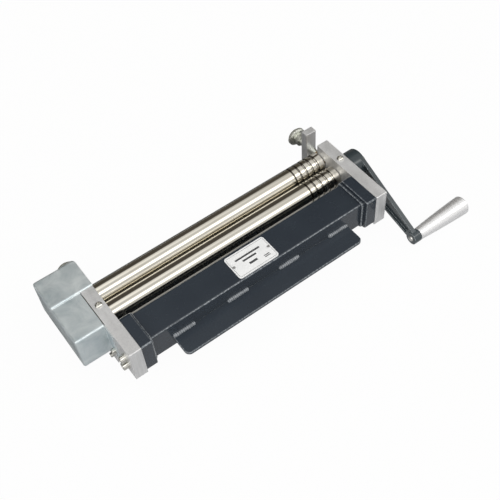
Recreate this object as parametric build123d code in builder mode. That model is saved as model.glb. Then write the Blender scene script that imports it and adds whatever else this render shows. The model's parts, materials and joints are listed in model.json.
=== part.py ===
from build123d import *
import os
from math import acos, cos, pi, radians, sin, sqrt, tan

# Bench slip roll: two geared pinch rolls side by side, a third forming roll below them, a crank
# on the right and a clamping shelf in front. X runs along the rolls (crank at +X, gears at -X),
# Y towards the back, Z up. The origin is the middle of the tie bar's underside, on the bench.

os.makedirs("parts", exist_ok=True)

# ---------------------------------------------------------------- driving dimensions, mm

# clearances
running_gap = 0.05  # radial, shaft in a bore
slide_gap = 0.1  # bearing block in its slot, per side
seat_gap = 0.02  # pieces that sit tight in one another
touch_gap = 0.05  # screw nose against the block it pushes
side_gap = 0.4  # between faces that pass each other

# rolls
span = 300.0  # between the inner faces of the end plates
roll_radius = 12.7
roll_end_gap = 0.5
front_axis_y = 4.4
pinch_gap = 2.6  # between the pinch rolls when fully open
pinch_travel = 1.9
forming_axis_y = 5.0
forming_travel = 9.0
roll_stack_gap = 4.6  # height between the pinch rolls and the forming roll
roll_bar_gap = 1.3  # forming roll above the tie bar
edge_break = 0.5
last_groove_inset = 9.6  # from the crank-side plate to the widest wire groove
groove_pitch = 8.0
groove_radii = [1.6, 1.45, 1.3, 1.15, 1.0]
groove_lip = 0.4

# journals and bearings
front_journal_radius = 7.0
bush_wall = 2.0
shaft_radius = 6.0  # gear seats, crank seat and block journals
block_size = 18.0
block_corner = 1.2

# end plates
plate_thickness = 14.0
plate_front = -65.0
plate_rear = 65.0
plate_above_axis = 23.9
arm_below_axis = 21.5  # underside of the front arm, clear of the bench
foot_front = -20.0  # behind this the plate reaches the bench
plate_edge_break = 0.6
horn_thickness = 8.8  # rear wall that carries the adjusting screw
lift_room = 2.0  # the open mouth is this much wider than the block
lift_slot_corner = 8.0

# gears
gear_module = 2.0
gear_teeth = 13
gear_pressure_angle = 20.0
gear_width = 20.0
gear_backlash = 0.3
gear_root_gap = 0.5
gear_end_break = 0.8
thrust_washer_thickness = 1.6
thrust_washer_radius = 9.5
ring_thickness = 1.0
ring_radius = 7.8
ring_groove_depth = 0.6
ring_gap_angle = 50.0
shaft_beyond_ring = 2.5
journal_beyond_ring = 0.7
key_size = 4.0
key_length = 14.0

# body between the plates
beam_width = 37.0
beam_height = 36.0
beam_wall = 3.0
beam_corner = 2.0
beam_rise = 2.0  # above the underside of the plates' arms
flange_thickness = 13.0
flange_inset = 0.8  # inside the outline of the plate
flange_corner = 4.5
flange_edge_break = 1.4
flange_weld_size = 3.2
shelf_length = 228.0
shelf_shift = 1.5  # the shelf sits slightly towards the crank
shelf_depth = 27.0
shelf_thickness = 3.2
shelf_rise = 17.0  # top of the shelf above the underside of the beam
shelf_corner = 6.0
shelf_edge_break = 0.8
weld_count = 4
weld_length = 27.0
weld_size = 3.4
weld_bulge = 0.6

# data plate
label_length = 50.4
label_width = 31.0
label_thickness = 0.8
label_corner = 3.0
label_inset = 2.0  # from the front edge of the beam
rivet_radius = 1.3
rivet_head_radius = 1.9
rivet_head_height = 0.7
rivet_inset = 3.0

# tie bar under the forming roll
tie_bar_width = 30.0
tie_bar_height = 6.5
tie_screw_spread = 18.0
tie_screw_radius = 1.5
tie_screw_length = 24.0
tie_screw_head_radius = 2.75
tie_screw_head_height = 3.0

# cap screws that hold the plates to the body
plate_screw_radius = 2.5
plate_screw_head_radius = 4.25
plate_screw_head_height = 5.0
plate_screw_length = 22.0
plate_screw_inset = 11.5  # from the front of the plate
plate_screw_spread = 13.0
plate_screw_rise = 2.5  # middle of the pair above the middle of the beam
plate_screw_hole_gap = 0.25
washer_radius = 5.2
washer_thickness = 1.4
socket_share = 0.5  # socket circle over head radius
socket_depth = 2.2

# small screws over the front bushes
lock_screw_radius = 2.5
lock_screw_head_radius = 3.9
lock_screw_head_height = 2.6
cross_width = 0.9
cross_depth = 1.1

# adjusting screws
adjuster_radius = 4.0
adjuster_hole_gap = 0.08
knob_drop = 2.5  # the screw axis is this far under the roll axis
knob_reach = 8.0  # from the plate's rear edge to the hub
hub_radius = 6.8
hub_length = 7.5
disc_radius = 11.4
disc_length = 6.0
disc_round = 1.8
knurl_count = 36
knurl_size = 0.55
forming_head_across = 13.0
forming_head_height = 5.3
forming_head_room = 1.5  # left under the head when fully screwed in

# crank
crank_throw = 108.0
crank_stand_off = 4.0  # hub from the outer face of the plate
crank_spacer_radius = 10.0
crank_hub_radius = 17.0
crank_outer = 21.5  # arm's outer face from the plate's outer face
crank_edge_round = 1.6
arm_thickness = 5.5
arm_end_radius = 6.6
arm_rim = 2.6
arm_pocket_depth = 3.0
boss_radius = 7.6
boss_length = 10.0
boss_proud = 2.5
boss_round = 1.0
crank_washer_radius = 9.0
crank_washer_thickness = 1.6
end_screw_radius = 3.0
end_screw_length = 16.0
end_screw_head_radius = 5.0
end_screw_head_height = 5.0

# handle
handle_bench_gap = 1.2  # the handle hangs this far above the bench at rest
grip_length = 69.5
grip_base_radius = 7.2
grip_end_radius = 11.2
grip_bulge = 0.5
grip_round = 2.2
spindle_radius = 3.6
spindle_tail_radius = 2.8
spindle_head_radius = 5.2
spindle_head_height = 4.0
spindle_dome_radius = 3.4
spindle_dome_height = 2.2

# gear cover, sheet steel
cover_sheet = 1.2
cover_end_room = 7.3  # beyond the shaft ends
cover_front = -20.0
cover_step_y = 29.0  # behind this the cover is higher and laps over the plate
cover_rear_reach = 5.0  # behind the plate
cover_front_drop = 0.4  # front part below the top of the plate
cover_bend = 2.4
cover_tab_width = 15.0
cover_side_gap = 0.8  # the front part stands this far off the plate
cover_tab_inset = 0.5
cover_lap_inset = 0.5  # short of the plate's inner face
cover_lap_extra = 2.4  # the lap reaches this much further back
cover_lap_corner = 8.0
cover_lap_bend = 5.0
cover_lip_height = 13.6
cover_screw_inset = 9.0
cover_screw_rise = 10.0
cover_screw_radius = 2.0
cover_screw_head_radius = 3.6
cover_screw_head_height = 3.6
cover_screw_length = 8.0

# ---------------------------------------------------------------- places worked out from them

left, right = -1, 1
side_names = {left: "left", right: "right"}
inner_face = span / 2
outer_face = inner_face + plate_thickness
mid_plate = inner_face + plate_thickness / 2
roll_half_length = inner_face - roll_end_gap

forming_axis_height = tie_bar_height + roll_bar_gap + roll_radius
roll_axis_height = forming_axis_height + 2 * roll_radius + roll_stack_gap
rear_axis_y = front_axis_y + 2 * roll_radius + pinch_gap
plate_top = roll_axis_height + plate_above_axis
arm_underside = roll_axis_height - arm_below_axis
half_block = block_size / 2
bush_radius = front_journal_radius + running_gap + bush_wall
knob_height = roll_axis_height - knob_drop
adjuster_hole_radius = adjuster_radius + adjuster_hole_gap

lift_slot_rear = plate_rear - horn_thickness
lift_slot_mouth = lift_slot_rear - block_size - lift_room
lift_slot_front = rear_axis_y - half_block - pinch_travel - slide_gap
lift_slot_low = roll_axis_height - half_block - slide_gap
lift_slot_high = roll_axis_height + half_block + slide_gap
window_low = (forming_axis_y - half_block - slide_gap, forming_axis_height - half_block - slide_gap)
window_high = (
    forming_axis_y + forming_travel + half_block + slide_gap,
    forming_axis_height + half_block + slide_gap,
)

beam_rear = foot_front
beam_front = beam_rear - beam_width
beam_underside = arm_underside + beam_rise
beam_top = beam_underside + beam_height
beam_half_length = inner_face - flange_thickness
beam_middle = ((beam_front + beam_rear) / 2, (beam_underside + beam_top) / 2)
flange_low = (plate_front + flange_inset, arm_underside + flange_inset)
flange_high = (beam_rear, plate_top - flange_inset)
shelf_top = beam_underside + shelf_rise
weld_pitch = (shelf_length - weld_length) / (weld_count - 1)

screw_pair_height = beam_middle[1] + plate_screw_rise
plate_screw_spots = [
    (plate_front + plate_screw_inset, screw_pair_height - plate_screw_spread / 2),
    (plate_front + plate_screw_inset, screw_pair_height + plate_screw_spread / 2),
]
tie_screw_spots = [(-tie_screw_spread / 2, tie_bar_height / 2), (tie_screw_spread / 2, tie_bar_height / 2)]

washer_start = outer_face + side_gap
gear_start = washer_start + thrust_washer_thickness
gear_end = gear_start + gear_width
gear_ring_start = gear_end + seat_gap
shaft_end = gear_ring_start + ring_thickness + shaft_beyond_ring
journal_end = washer_start + ring_thickness + journal_beyond_ring

crank_hub_start = outer_face + crank_stand_off
crank_face = outer_face + crank_outer
boss_end = crank_face + boss_proud
boss_start = boss_end - boss_length
pivot_drop = roll_axis_height - grip_end_radius - handle_bench_gap
pivot_y = front_axis_y - sqrt(crank_throw**2 - pivot_drop**2)
hub_spot = (front_axis_y, roll_axis_height)
pivot_spot = (pivot_y, roll_axis_height - pivot_drop)
grip_start = boss_end + side_gap
grip_end = grip_start + grip_length
spindle_head_start = grip_end - spindle_head_height

cover_left = -(shaft_end + cover_end_room + cover_sheet)
cover_rear = plate_rear + cover_rear_reach
cover_bottom = arm_underside
cover_front_top = plate_top - cover_front_drop
cover_rear_top = plate_top + seat_gap + cover_sheet
cover_screw_spot = (cover_front - cover_screw_inset, cover_bottom + cover_screw_rise)


def section(x):
    """Upright cross-section plane at X: its x is Y and its y is Z."""
    return Plane.YZ.offset(x)


def along_x(y, z):
    """Plane through an axis parallel to X: its x is X and its y is the distance above the axis."""
    return Plane(origin=(0, y, z), x_dir=(1, 0, 0), z_dir=(0, -1, 0))


def along_y(x, z):
    """Plane through an axis parallel to Y: its x is Y and its y is the distance above the axis."""
    return Plane(origin=(x, 0, z), x_dir=(0, 1, 0), z_dir=(1, 0, 0))


def axis_x(y, z):
    return Axis((0, y, z), (1, 0, 0))


def axis_y(x, z):
    return Axis((x, 0, z), (0, 1, 0))


def patch(low, high, mode=Mode.ADD):
    """Rectangle between two corners, in the current sketch."""
    with Locations(((low[0] + high[0]) / 2, (low[1] + high[1]) / 2)):
        Rectangle(high[0] - low[0], high[1] - low[1], mode=mode)


def step(start, end, radius, ease=edge_break):
    """One cylinder of a turned half-profile, from start to end along it, with eased edges."""
    eased = [(start, radius - ease), (start + ease, radius), (end - ease, radius), (end, radius - ease)]
    Polygon((start, 0), *eased, (end, 0), align=None)


def block(low, high, mode=Mode.ADD):
    """Box between two corners, in the current part."""
    with Locations(tuple((a + b) / 2 for a, b in zip(low, high))):
        Box(*[b - a for a, b in zip(low, high)], mode=mode)


# ---------------------------------------------------------------- pieces used more than once


def cap_screw(radius, length, head_radius, head_height):
    """Socket cap screw: underside of the head at the origin, shank down -Z."""
    with BuildPart() as screw:
        with BuildSketch(Plane.XZ):
            Polygon(
                (0, -length),
                (radius - edge_break, -length),
                (radius, edge_break - length),
                (radius, 0),
                (head_radius, 0),
                (head_radius, head_height - edge_break),
                (head_radius - edge_break, head_height),
                (0, head_height),
                align=None,
            )
        revolve(axis=Axis.Z)
        with BuildSketch(Plane.XY.offset(head_height)):
            RegularPolygon(head_radius * socket_share, 6)
        extrude(amount=-socket_depth, mode=Mode.SUBTRACT)
    return screw.part


def pan_screw(radius, length, head_radius, head_height):
    """Domed screw with a cross recess: underside of the head at the origin, shank down -Z."""
    rim = head_height / 3
    shoulder = (head_radius * 0.75, rim + (head_height - rim) * 0.62)
    with BuildPart() as screw:
        with BuildSketch(Plane.XZ):
            with BuildLine():
                Polyline((0, head_height), (0, -length), (radius, -length), (radius, 0))
                Polyline((radius, 0), (head_radius, 0), (head_radius, rim))
                ThreePointArc((head_radius, rim), shoulder, (cross_width, head_height))
                Line((cross_width, head_height), (0, head_height))
            make_face()
        revolve(axis=Axis.Z)
        with BuildSketch(Plane.XY.offset(head_height)):
            Rectangle(head_radius * 1.1, cross_width)
            Rectangle(cross_width, head_radius * 1.1)
        extrude(amount=-cross_depth, mode=Mode.SUBTRACT)
    return screw.part


def washer(outer_radius, hole_radius, thickness):
    """Flat washer, thickness along +X from the origin."""
    with BuildPart() as ring:
        with BuildSketch(Plane.YZ):
            Circle(outer_radius)
            Circle(hole_radius, mode=Mode.SUBTRACT)
        extrude(amount=thickness)
    return ring.part


def retaining_ring():
    """Open ring in a shaft groove, thickness along +X from the origin, its gap downwards."""
    reach = 2 * ring_radius
    half_gap = reach * tan(radians(ring_gap_angle / 2))
    with BuildPart() as ring:
        with BuildSketch(Plane.YZ):
            Circle(ring_radius)
            Circle(shaft_radius - ring_groove_depth + seat_gap, mode=Mode.SUBTRACT)
            Polygon((0, 0), (half_gap, -reach), (-half_gap, -reach), align=None, mode=Mode.SUBTRACT)
        extrude(amount=ring_thickness)
    return ring.part


def involute(angle):
    return tan(angle) - angle


def tooth_angle(radius):
    """Half of a tooth's thickness at a radius, in radians about the gear's axis."""
    pitch_radius = gear_module * gear_teeth / 2
    pressure = radians(gear_pressure_angle)
    at_radius = acos(min(1.0, pitch_radius * cos(pressure) / radius))
    thinning = gear_backlash / 2 / pitch_radius
    return pi / (2 * gear_teeth) - thinning + involute(pressure) - involute(at_radius)


def spur_gear():
    """Involute spur gear on the X axis with a tooth towards +Y and a keyway towards +Z."""
    pitch_radius = gear_module * gear_teeth / 2
    tip_radius = pitch_radius + gear_module
    root_radius = pitch_radius - gear_module - gear_root_gap
    base_radius = pitch_radius * cos(radians(gear_pressure_angle))
    flank_steps = 5
    shares = [(i / flank_steps) ** 2 for i in range(flank_steps + 1)]
    flank_radii = [base_radius + (tip_radius - base_radius) * share for share in shares]
    upper = [(r * cos(tooth_angle(r)), r * sin(tooth_angle(r))) for r in flank_radii]
    lower = [(x, -y) for x, y in upper]
    inside = root_radius - edge_break
    foot = (inside * cos(tooth_angle(base_radius)), inside * sin(tooth_angle(base_radius)))
    half_key = key_size / 2 + seat_gap
    with BuildSketch() as tooth:
        with BuildLine():
            Line(foot, upper[0])
            Spline(*upper)
            ThreePointArc(upper[-1], (tip_radius, 0), lower[-1])
            Spline(*lower)
            Polyline(lower[0], (foot[0], -foot[1]), foot)
        make_face()
    with BuildPart() as gear:
        with BuildSketch(Plane.YZ):
            Circle(root_radius)
            with PolarLocations(0, gear_teeth):
                add(tooth.sketch)
        extrude(amount=gear_width)
        with BuildSketch(Plane.XY):
            step(0, gear_width, tip_radius + seat_gap, gear_end_break)
        revolve(axis=Axis.X, mode=Mode.INTERSECT)
        with BuildSketch(Plane.YZ):
            Circle(shaft_radius + seat_gap)
            patch((-half_key, 0), (half_key, shaft_radius + half_key))
        extrude(amount=gear_width, mode=Mode.SUBTRACT)
    return gear.part


def bearing_block():
    """Square sliding bearing, thickness along +X from the origin."""
    with BuildPart() as bearing:
        with BuildSketch(Plane.YZ):
            RectangleRounded(block_size, block_size, block_corner)
            Circle(shaft_radius + running_gap, mode=Mode.SUBTRACT)
        extrude(amount=plate_thickness)
    return bearing.part


gear_shape = spur_gear()
ring_shape = retaining_ring()
block_shape = bearing_block()
thrust_shape = washer(thrust_washer_radius, shaft_radius + seat_gap, thrust_washer_thickness)

# ---------------------------------------------------------------- end plates

for side in (left, right):
    plate_start = inner_face if side == right else -outer_face
    with BuildPart() as end_plate:
        with BuildSketch(section(plate_start)) as plate_side:
            patch((plate_front, arm_underside), (plate_rear, plate_top))
            patch((foot_front, 0), (plate_rear, plate_top))
            outer_corners = plate_side.vertices().filter_by(lambda v: v.X in (plate_front, plate_rear))
            chamfer(outer_corners, plate_edge_break)
            patch((lift_slot_front, lift_slot_low), (lift_slot_rear, lift_slot_high), Mode.SUBTRACT)
            patch((lift_slot_mouth, roll_axis_height), (lift_slot_rear, plate_top), Mode.SUBTRACT)
            low_rear = plate_side.vertices().sort_by_distance((lift_slot_rear, lift_slot_low))[0]
            fillet(low_rear, lift_slot_corner)
            patch(window_low, window_high, Mode.SUBTRACT)
            with Locations(hub_spot):
                Circle(bush_radius + seat_gap, mode=Mode.SUBTRACT)
            with Locations(*plate_screw_spots):
                Circle(plate_screw_radius + plate_screw_hole_gap, mode=Mode.SUBTRACT)
            with Locations(*tie_screw_spots):
                Circle(tie_screw_radius + seat_gap, mode=Mode.SUBTRACT)
        extrude(amount=plate_thickness)
        with BuildSketch(Plane.XY.offset(plate_top)):
            with Locations((side * mid_plate, front_axis_y)):
                Circle(lock_screw_radius + seat_gap)
        extrude(amount=-plate_above_axis, mode=Mode.SUBTRACT)
        with BuildSketch(Plane.XZ.offset(-plate_rear)):
            with Locations((side * mid_plate, knob_height)):
                Circle(adjuster_hole_radius)
        extrude(amount=horn_thickness + lift_slot_corner, mode=Mode.SUBTRACT)
        with BuildSketch(Plane.XZ.offset(-foot_front)):
            with Locations((side * mid_plate, forming_axis_height)):
                Circle(adjuster_hole_radius)
        extrude(amount=foot_front - forming_axis_y, mode=Mode.SUBTRACT)
        if side == left:
            with BuildSketch(section(-outer_face)):
                with Locations(cover_screw_spot):
                    Circle(cover_screw_radius + seat_gap)
            extrude(amount=cover_screw_length, mode=Mode.SUBTRACT)
    end_plate.part.label = f"end_plate_{side_names[side]}"
    export_step(end_plate.part, f"parts/{end_plate.part.label}.step")

# ---------------------------------------------------------------- body: box beam, flanges, shelf

with BuildPart() as base_beam:
    with BuildSketch(section(-beam_half_length)):
        with Locations(beam_middle):
            RectangleRounded(beam_width, beam_height, beam_corner)
            bore_width = beam_width - 2 * beam_wall
            bore_height = beam_height - 2 * beam_wall
            RectangleRounded(bore_width, bore_height, beam_corner / 2, mode=Mode.SUBTRACT)
    extrude(amount=2 * beam_half_length)
base_beam.part.label = "base_beam"
export_step(base_beam.part, "parts/base_beam.step")

for side in (left, right):
    flange_start = beam_half_length if side == right else -inner_face
    with BuildPart() as end_flange:
        with BuildSketch(section(flange_start)) as flange_side:
            patch(flange_low, flange_high)
            front_top, rear_top = flange_side.vertices().group_by(Axis.Y)[-1].sort_by(Axis.X)
            fillet([*flange_side.vertices().group_by(Axis.Y)[0], rear_top], flange_corner)
            chamfer(flange_side.vertices().sort_by_distance(front_top)[0], flange_edge_break)
            with Locations(*plate_screw_spots):
                Circle(plate_screw_radius + seat_gap, mode=Mode.SUBTRACT)
        extrude(amount=flange_thickness)
        beam_side = end_flange.faces().sort_by(Axis.X)[0 if side == right else -1]
        chamfer(beam_side.outer_wire().edges(), flange_edge_break / 2)
    end_flange.part.label = f"end_flange_{side_names[side]}"
    export_step(end_flange.part, f"parts/{end_flange.part.label}.step")

# Fillet welds run over the top and down the front of the beam where it meets the flanges.
with BuildPart() as flange_welds:
    for side in (left, right):
        with BuildSketch(section(side * beam_half_length)):
            with Locations(beam_middle):
                spread = 2 * flange_weld_size
                RectangleRounded(beam_width + spread, beam_height + spread, beam_corner + flange_weld_size)
        with BuildSketch(section(side * (beam_half_length - flange_weld_size))):
            with Locations(beam_middle):
                RectangleRounded(beam_width + edge_break, beam_height + edge_break, beam_corner + edge_break)
        loft()
    with BuildSketch(section(-beam_half_length)):
        with Locations(beam_middle):
            RectangleRounded(beam_width, beam_height, beam_corner)
        patch((beam_rear, 0), (beam_rear + beam_width, plate_top))
        patch((plate_front, 0), (beam_rear, beam_underside + beam_corner))
    extrude(amount=2 * beam_half_length, mode=Mode.SUBTRACT)
flange_welds.part.label = "flange_welds"
export_step(flange_welds.part, "parts/flange_welds.step")

with BuildPart() as clamp_shelf:
    with BuildSketch(Plane.XY.offset(shelf_top)) as shelf_outline:
        with Locations((shelf_shift, beam_front - shelf_depth / 2)):
            Rectangle(shelf_length, shelf_depth)
        fillet(shelf_outline.vertices().group_by(Axis.Y)[0], shelf_corner)
    extrude(amount=-shelf_thickness)
    shelf_rim = clamp_shelf.faces().sort_by(Axis.Z)[-1].edges().sort_by(Axis.Y)[:-1]
    chamfer(shelf_rim, shelf_edge_break)
clamp_shelf.part.label = "clamp_shelf"
export_step(clamp_shelf.part, "parts/clamp_shelf.step")

weld_foot = (beam_front - weld_size, shelf_top)
weld_head = (beam_front, shelf_top + weld_size)
weld_belly = (beam_front - weld_size * weld_bulge, shelf_top + weld_size * weld_bulge)
with BuildPart() as shelf_welds:
    for index in range(weld_count):
        weld_middle = shelf_shift + (index - (weld_count - 1) / 2) * weld_pitch
        with BuildSketch(section(weld_middle - weld_length / 2)):
            with BuildLine():
                Polyline(weld_head, (beam_front, shelf_top), weld_foot)
                ThreePointArc(weld_foot, weld_belly, weld_head)
            make_face()
        extrude(amount=weld_length)
shelf_welds.part.label = "shelf_welds"
export_step(shelf_welds.part, "parts/shelf_welds.step")

# ---------------------------------------------------------------- data plate

label_middle_y = beam_front + label_inset + label_width / 2
rivet_x = label_length / 2 - rivet_inset
rivet_spots = [(-rivet_x, label_middle_y), (rivet_x, label_middle_y)]

with BuildPart() as label_plate:
    with BuildSketch(Plane.XY.offset(beam_top)):
        with Locations((0, label_middle_y)):
            RectangleRounded(label_length, label_width, label_corner)
        with Locations(*rivet_spots):
            Circle(rivet_radius + seat_gap, mode=Mode.SUBTRACT)
    extrude(amount=label_thickness)
label_plate.part.label = "label_plate"
export_step(label_plate.part, "parts/label_plate.step")

with BuildPart() as label_rivets:
    with BuildSketch(Plane.XY.offset(beam_top)):
        with Locations(*rivet_spots):
            Circle(rivet_radius)
    extrude(amount=label_thickness)
    with BuildSketch(Plane.XY.offset(beam_top + label_thickness)):
        with Locations(*rivet_spots):
            Circle(rivet_head_radius)
    extrude(amount=rivet_head_height)
    chamfer(label_rivets.faces().group_by(Axis.Z)[-1].edges(), rivet_head_height / 2)
label_rivets.part.label = "label_rivets"
export_step(label_rivets.part, "parts/label_rivets.step")

# ---------------------------------------------------------------- tie bar and plate fasteners

with BuildPart() as tie_bar:
    Box(span, tie_bar_width, tie_bar_height, align=(Align.CENTER, Align.CENTER, Align.MIN))
    for side in (left, right):
        with BuildSketch(section(side * inner_face)):
            with Locations(*tie_screw_spots):
                Circle(tie_screw_radius + seat_gap)
        extrude(amount=-side * tie_screw_length, mode=Mode.SUBTRACT)
tie_bar.part.label = "tie_bar"
export_step(tie_bar.part, "parts/tie_bar.step")

tie_screw_shape = cap_screw(tie_screw_radius, tie_screw_length, tie_screw_head_radius, tie_screw_head_height)
with BuildPart() as tie_bar_screws:
    for side in (left, right):
        for spot in tie_screw_spots:
            with Locations(Location((side * outer_face, *spot), (0, side * 90, 0))):
                add(tie_screw_shape)
tie_bar_screws.part.label = "tie_bar_screws"
export_step(tie_bar_screws.part, "parts/tie_bar_screws.step")

plate_washer_shape = washer(washer_radius, plate_screw_radius + plate_screw_hole_gap, washer_thickness)
with BuildPart() as plate_washers:
    for side in (left, right):
        washer_seat = outer_face if side == right else -outer_face - washer_thickness
        with Locations(*[(washer_seat, *spot) for spot in plate_screw_spots]):
            add(plate_washer_shape)
plate_washers.part.label = "plate_washers"
export_step(plate_washers.part, "parts/plate_washers.step")

plate_screw_shape = cap_screw(
    plate_screw_radius, plate_screw_length, plate_screw_head_radius, plate_screw_head_height
)
with BuildPart() as plate_screws:
    for side in (left, right):
        for spot in plate_screw_spots:
            with Locations(Location((side * (outer_face + washer_thickness), *spot), (0, side * 90, 0))):
                add(plate_screw_shape)
plate_screws.part.label = "plate_screws"
export_step(plate_screws.part, "parts/plate_screws.step")

# ---------------------------------------------------------------- front bushes and their screws

for side in (left, right):
    bush_start = inner_face if side == right else -outer_face
    with BuildPart() as front_bush:
        with BuildSketch(section(bush_start)):
            with Locations(hub_spot):
                Circle(bush_radius)
                Circle(front_journal_radius + running_gap, mode=Mode.SUBTRACT)
        extrude(amount=plate_thickness)
    front_bush.part.label = f"front_bush_{side_names[side]}"
    export_step(front_bush.part, f"parts/{front_bush.part.label}.step")

lock_screw_length = plate_above_axis - bush_radius - seat_gap
lock_screw_shape = pan_screw(
    lock_screw_radius, lock_screw_length, lock_screw_head_radius, lock_screw_head_height
)
with BuildPart() as bush_lock_screws:
    with Locations(*[(side * mid_plate, front_axis_y, plate_top) for side in (left, right)]):
        add(lock_screw_shape)
bush_lock_screws.part.label = "bush_lock_screws"
export_step(bush_lock_screws.part, "parts/bush_lock_screws.step")

# ---------------------------------------------------------------- the three rolls

wire_groove_spots = [inner_face - last_groove_inset - i * groove_pitch for i in range(len(groove_radii))]
ring_groove_floor = shaft_radius - ring_groove_depth


def cut_wire_grooves():
    """Half-round grooves near the crank end of a roll, in the current half-profile."""
    for spot, radius in zip(wire_groove_spots, groove_radii):
        with Locations((spot, roll_radius)):
            Circle(radius, mode=Mode.SUBTRACT)


def groove_lips(profile):
    """Corners between the wire grooves and the surface of the roll."""
    reach = last_groove_inset / 2
    on_surface = profile.vertices().filter_by(lambda v: abs(v.Y - roll_radius) < edge_break / 10)
    return on_surface.filter_by(lambda v: wire_groove_spots[-1] - reach < v.X < inner_face - reach)


def cut_ring_groove(start):
    """Groove for a retaining ring that spans start to start + ring_thickness along the shaft."""
    patch(
        (start - seat_gap, ring_groove_floor), (start + ring_thickness + seat_gap, roll_radius), Mode.SUBTRACT
    )


def key_corners(start, y, side):
    """Low and high corners of a key on top of a shaft, half sunk into it."""
    ends = sorted((side * start, side * (start + key_length)))
    half = key_size / 2
    top_of_shaft = roll_axis_height + shaft_radius
    return (ends[0], y - half, top_of_shaft - half), (ends[1], y + half, top_of_shaft + half)


gear_key_start = gear_start + (gear_width - key_length) / 2
crank_key_start = crank_hub_start + (crank_face - crank_hub_start - key_length) / 2

with BuildPart() as front_roll:
    with BuildSketch(along_x(*hub_spot)) as front_profile:
        step(-roll_half_length, roll_half_length, roll_radius)
        cut_wire_grooves()
        fillet(groove_lips(front_profile), groove_lip)
        step(-washer_start, crank_hub_start, front_journal_radius)
        step(-shaft_end, crank_face - side_gap, shaft_radius)
        cut_ring_groove(-gear_ring_start - ring_thickness)
    revolve(axis=axis_x(*hub_spot))
    block(*key_corners(gear_key_start, front_axis_y, left), mode=Mode.SUBTRACT)
    block(*key_corners(crank_key_start, front_axis_y, right), mode=Mode.SUBTRACT)
    with BuildSketch(section(crank_face)):
        with Locations(hub_spot):
            Circle(end_screw_radius + seat_gap)
    extrude(amount=-end_screw_length, mode=Mode.SUBTRACT)
front_roll.part.label = "front_roll"
export_step(front_roll.part, "parts/front_roll.step")

with BuildPart() as rear_roll:
    with BuildSketch(along_x(rear_axis_y, roll_axis_height)) as rear_profile:
        step(-roll_half_length, roll_half_length, roll_radius)
        cut_wire_grooves()
        fillet(groove_lips(rear_profile), groove_lip)
        step(-shaft_end, journal_end, shaft_radius)
        cut_ring_groove(-gear_ring_start - ring_thickness)
        cut_ring_groove(washer_start)
    revolve(axis=axis_x(rear_axis_y, roll_axis_height))
    block(*key_corners(gear_key_start, rear_axis_y, left), mode=Mode.SUBTRACT)
rear_roll.part.label = "rear_roll"
export_step(rear_roll.part, "parts/rear_roll.step")

with BuildPart() as forming_roll:
    with BuildSketch(along_x(forming_axis_y, forming_axis_height)) as forming_profile:
        step(-roll_half_length, roll_half_length, roll_radius)
        cut_wire_grooves()
        fillet(groove_lips(forming_profile), groove_lip)
        step(-journal_end, journal_end, shaft_radius)
        cut_ring_groove(-washer_start - ring_thickness)
        cut_ring_groove(washer_start)
    revolve(axis=axis_x(forming_axis_y, forming_axis_height))
forming_roll.part.label = "forming_roll"
export_step(forming_roll.part, "parts/forming_roll.step")

# ---------------------------------------------------------------- gears, keys, washers and rings

for name, axis_at in (("front", front_axis_y), ("rear", rear_axis_y)):
    with BuildPart() as gear:
        with Locations((-gear_end, axis_at, roll_axis_height)):
            add(gear_shape)
    gear.part.label = f"{name}_gear"
    export_step(gear.part, f"parts/{gear.part.label}.step")

    with BuildPart() as gear_key:
        block(*key_corners(gear_key_start, axis_at, left))
    gear_key.part.label = f"{name}_gear_key"
    export_step(gear_key.part, f"parts/{gear_key.part.label}.step")

    with BuildPart() as gear_ring:
        with Locations((-gear_ring_start - ring_thickness, axis_at, roll_axis_height)):
            add(ring_shape)
    gear_ring.part.label = f"{name}_gear_ring"
    export_step(gear_ring.part, f"parts/{gear_ring.part.label}.step")

    with BuildPart() as thrust_washer:
        with Locations((-gear_start, axis_at, roll_axis_height)):
            add(thrust_shape)
    thrust_washer.part.label = f"{name}_thrust_washer"
    export_step(thrust_washer.part, f"parts/{thrust_washer.part.label}.step")

with BuildPart() as rear_end_ring:
    with Locations((washer_start, rear_axis_y, roll_axis_height)):
        add(ring_shape)
rear_end_ring.part.label = "rear_end_ring"
export_step(rear_end_ring.part, "parts/rear_end_ring.step")

with BuildPart() as forming_rings:
    with Locations(
        (washer_start, forming_axis_y, forming_axis_height),
        (-washer_start - ring_thickness, forming_axis_y, forming_axis_height),
    ):
        add(ring_shape)
forming_rings.part.label = "forming_rings"
export_step(forming_rings.part, "parts/forming_rings.step")

# ---------------------------------------------------------------- sliding bearing blocks

for side in (left, right):
    block_start = inner_face if side == right else -outer_face
    with BuildPart() as rear_block:
        with Locations((block_start, rear_axis_y, roll_axis_height)):
            add(block_shape)
    rear_block.part.label = f"rear_block_{side_names[side]}"
    export_step(rear_block.part, f"parts/{rear_block.part.label}.step")

    with BuildPart() as forming_block:
        with Locations((block_start, forming_axis_y, forming_axis_height)):
            add(block_shape)
    forming_block.part.label = f"forming_block_{side_names[side]}"
    export_step(forming_block.part, f"parts/{forming_block.part.label}.step")

# ---------------------------------------------------------------- adjusting knobs and forming screws

knob_nose = rear_axis_y + half_block + touch_gap
hub_start = plate_rear + knob_reach
disc_start = hub_start + hub_length
disc_end = disc_start + disc_length
for side in (left, right):
    with BuildPart() as adjusting_knob:
        with BuildSketch(along_y(side * mid_plate, knob_height)):
            step(disc_start, disc_end, disc_radius, ease=disc_round)
            step(knob_nose, disc_end - disc_round, adjuster_radius)
            step(hub_start, disc_end - disc_round, hub_radius)
        revolve(axis=axis_y(side * mid_plate, knob_height))
        with BuildSketch(Plane.XZ.offset(-disc_end)):
            with Locations((side * mid_plate, knob_height)):
                with PolarLocations(disc_radius, knurl_count):
                    RegularPolygon(knurl_size, 4)
        extrude(amount=disc_length, mode=Mode.SUBTRACT)
    adjusting_knob.part.label = f"adjusting_knob_{side_names[side]}"
    export_step(adjusting_knob.part, f"parts/{adjusting_knob.part.label}.step")

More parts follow.
